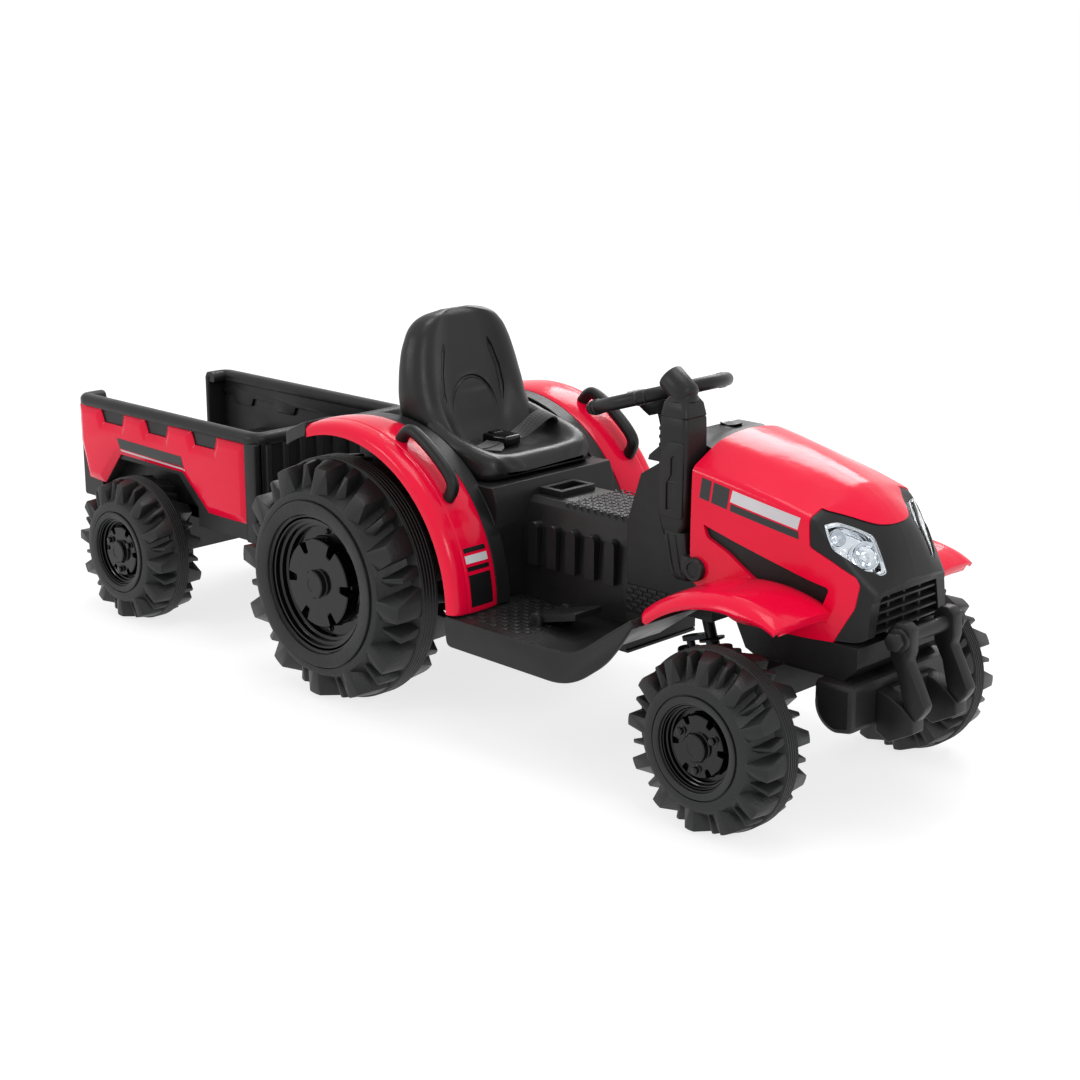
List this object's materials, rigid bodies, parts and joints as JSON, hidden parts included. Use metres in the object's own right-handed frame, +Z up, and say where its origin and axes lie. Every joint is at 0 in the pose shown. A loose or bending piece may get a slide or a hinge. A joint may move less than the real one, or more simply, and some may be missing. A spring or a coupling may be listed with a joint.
{
  "type": "ride-on toy tractor with trailer",
  "caption": "Battery ride-on toy tractor with steered front wheels, lugged tyres, moulded seat, red hood and fenders, and a two-wheeled open-backed trailer on a drawbar.",
  "frame": {"origin": "on the ground, midway along the overall length and width", "axes": "+X forward from trailer to tractor, +Y to the driver's left, +Z up"},
  "size_m": [1.38, 0.428, 0.469],
  "materials": {
    "red_plastic": "glossy moulded red",
    "black_plastic": "fine-grained black",
    "black_gloss": "glossy black",
    "tyre": "matt blow-moulded tyre",
    "belt_webbing": "woven black webbing",
    "grey_plastic": "dark grey",
    "steel": "zinc plated",
    "chrome": "bright plated plastic",
    "lens": "clear",
    "red_button": "glossy",
    "white_button": "glossy"
  },
  "bodies": {
    "chassis": {"hood": "red_plastic", "front_fender_left": "red_plastic", "front_fender_right": "red_plastic", "rear_fender_left": "red_plastic", "rear_fender_right": "red_plastic", "seat_base": "black_plastic", "center_tunnel": "black_plastic", "cowl": "black_plastic", "undertray": "black_plastic", "footboard_left": "black_plastic", "footboard_right": "black_plastic", "front_chassis": "black_plastic", "hood_vents": "black_plastic", "nose_frame": "black_plastic", "grille": "black_plastic", "front_weight": "black_plastic", "front_linkage": "black_plastic", "linkage_pin": "black_plastic", "dash_panel": "black_plastic", "exhaust_elbow": "black_plastic", "muffler": "black_plastic", "exhaust_tip": "black_plastic", "fender_tail_caps": "black_plastic", "grab_handles": "black_plastic", "seat": "black_plastic", "belt_buckle": "black_plastic", "belt_straps": "belt_webbing", "battery": "grey_plastic", "gear_motors": "grey_plastic", "rear_axle": "steel", "hitch_pin": "steel", "headlight_reflectors": "chrome", "headlight_lenses": "lens"},
    "steering": {"steering_column": "steel", "steering_wheel": "black_plastic"},
    "horn": {"horn_button": "red_button"},
    "music": {"music_button": "white_button"},
    "knuckle_left": {"steering_knuckle_left": "steel"},
    "knuckle_right": {"steering_knuckle_right": "steel"},
    "link": {"tie_rod": "black_plastic"},
    "pedal": {"accelerator_pedal": "black_plastic"},
    "power": {"power_button": "red_button"},
    "direction": {"direction_switch": "white_button"},
    "trailer": {"trailer_tub": "black_plastic", "trailer_panel_left": "red_plastic", "trailer_panel_right": "red_plastic", "trailer_chassis": "black_plastic", "trailer_axle": "steel"},
    "rear_wheel_left": {"rear_tyre_left": "tyre", "rear_hubcap_left": "black_gloss"},
    "rear_wheel_right": {"rear_tyre_right": "tyre", "rear_hubcap_right": "black_gloss"},
    "front_wheel_left": {"front_tyre_left": "tyre", "front_hubcap_left": "black_gloss"},
    "front_wheel_right": {"front_tyre_right": "tyre", "front_hubcap_right": "black_gloss"},
    "trailer_wheel_left": {"trailer_tyre_left": "tyre", "trailer_hubcap_left": "black_gloss"},
    "trailer_wheel_right": {"trailer_tyre_right": "tyre", "trailer_hubcap_right": "black_gloss"}
  },
  "joints": [
    {"name": "steer", "type": "hinge", "parent": "chassis", "child": "steering", "pos_m": [0.368, 0, 0.136], "axis": [-0.2957, 0, 0.9553], "range_deg": [-30, 30]},
    {"name": "knuckle_left_turn", "type": "hinge", "parent": "chassis", "child": "knuckle_left", "pos_m": [0.518, 0.112, 0.099], "axis": [0, 0, 1], "range_deg": [-18, 18]},
    {"name": "knuckle_right_turn", "type": "hinge", "parent": "chassis", "child": "knuckle_right", "pos_m": [0.518, -0.112, 0.099], "axis": [0, 0, 1], "range_deg": [-18, 18]},
    {"name": "link_turn", "type": "hinge", "parent": "knuckle_left", "child": "link", "pos_m": [0.463, 0.112, 0.114], "axis": [0, 0, 1], "range_deg": [-18, 18]},
    {"name": "rear_wheel_left_spin", "type": "hinge", "parent": "chassis", "child": "rear_wheel_left", "pos_m": [-0.082, 0.158, 0.151], "axis": [0, 1, 0], "continuous": true},
    {"name": "rear_wheel_right_spin", "type": "hinge", "parent": "chassis", "child": "rear_wheel_right", "pos_m": [-0.082, -0.158, 0.151], "axis": [0, 1, 0], "continuous": true},
    {"name": "front_wheel_left_spin", "type": "hinge", "parent": "knuckle_left", "child": "front_wheel_left", "pos_m": [0.518, 0.171, 0.099], "axis": [0, 1, 0], "continuous": true},
    {"name": "front_wheel_right_spin", "type": "hinge", "parent": "knuckle_right", "child": "front_wheel_right", "pos_m": [0.518, -0.171, 0.099], "axis": [0, 1, 0], "continuous": true},
    {"name": "trailer_wheel_left_spin", "type": "hinge", "parent": "trailer", "child": "trailer_wheel_left", "pos_m": [-0.532, 0.146, 0.099], "axis": [0, 1, 0], "continuous": true},
    {"name": "trailer_wheel_right_spin", "type": "hinge", "parent": "trailer", "child": "trailer_wheel_right", "pos_m": [-0.532, -0.146, 0.099], "axis": [0, 1, 0], "continuous": true},
    {"name": "trailer_yaw", "type": "hinge", "parent": "chassis", "child": "trailer", "pos_m": [-0.232, 0, 0.137], "axis": [0, 0, 1], "range_deg": [-15, 15]},
    {"name": "pedal_press", "type": "hinge", "parent": "chassis", "child": "pedal", "pos_m": [0.221, -0.112, 0.156], "axis": [0, 1, 0], "range_deg": [0, 9], "stiffness_Nm_per_rad": 1.2, "springref_deg": -6.88},
    {"name": "horn_press", "type": "slide", "parent": "steering", "child": "horn", "axis": [-0.2957, 0, 0.9553], "range_m": [-0.003, 0], "stiffness_N_per_m": 150, "springref_m": 0.003},
    {"name": "music_press", "type": "slide", "parent": "steering", "child": "music", "axis": [-0.2957, 0, 0.9553], "range_m": [-0.003, 0], "stiffness_N_per_m": 150, "springref_m": 0.003},
    {"name": "power_press", "type": "slide", "parent": "chassis", "child": "power", "axis": [0, 0, 1], "range_m": [-0.003, 0], "stiffness_N_per_m": 150, "springref_m": 0.003},
    {"name": "direction_rock", "type": "hinge", "parent": "chassis", "child": "direction", "pos_m": [0.366, 0.028, 0.375], "axis": [0, 1, 0], "range_deg": [-8, 8]}
  ],
  "couplings": [
    {"joint": "knuckle_left_turn", "follows": "steer", "ratio": 0.6},
    {"joint": "knuckle_right_turn", "follows": "steer", "ratio": 0.6},
    {"joint": "link_turn", "follows": "steer", "ratio": -0.6}
  ]
}
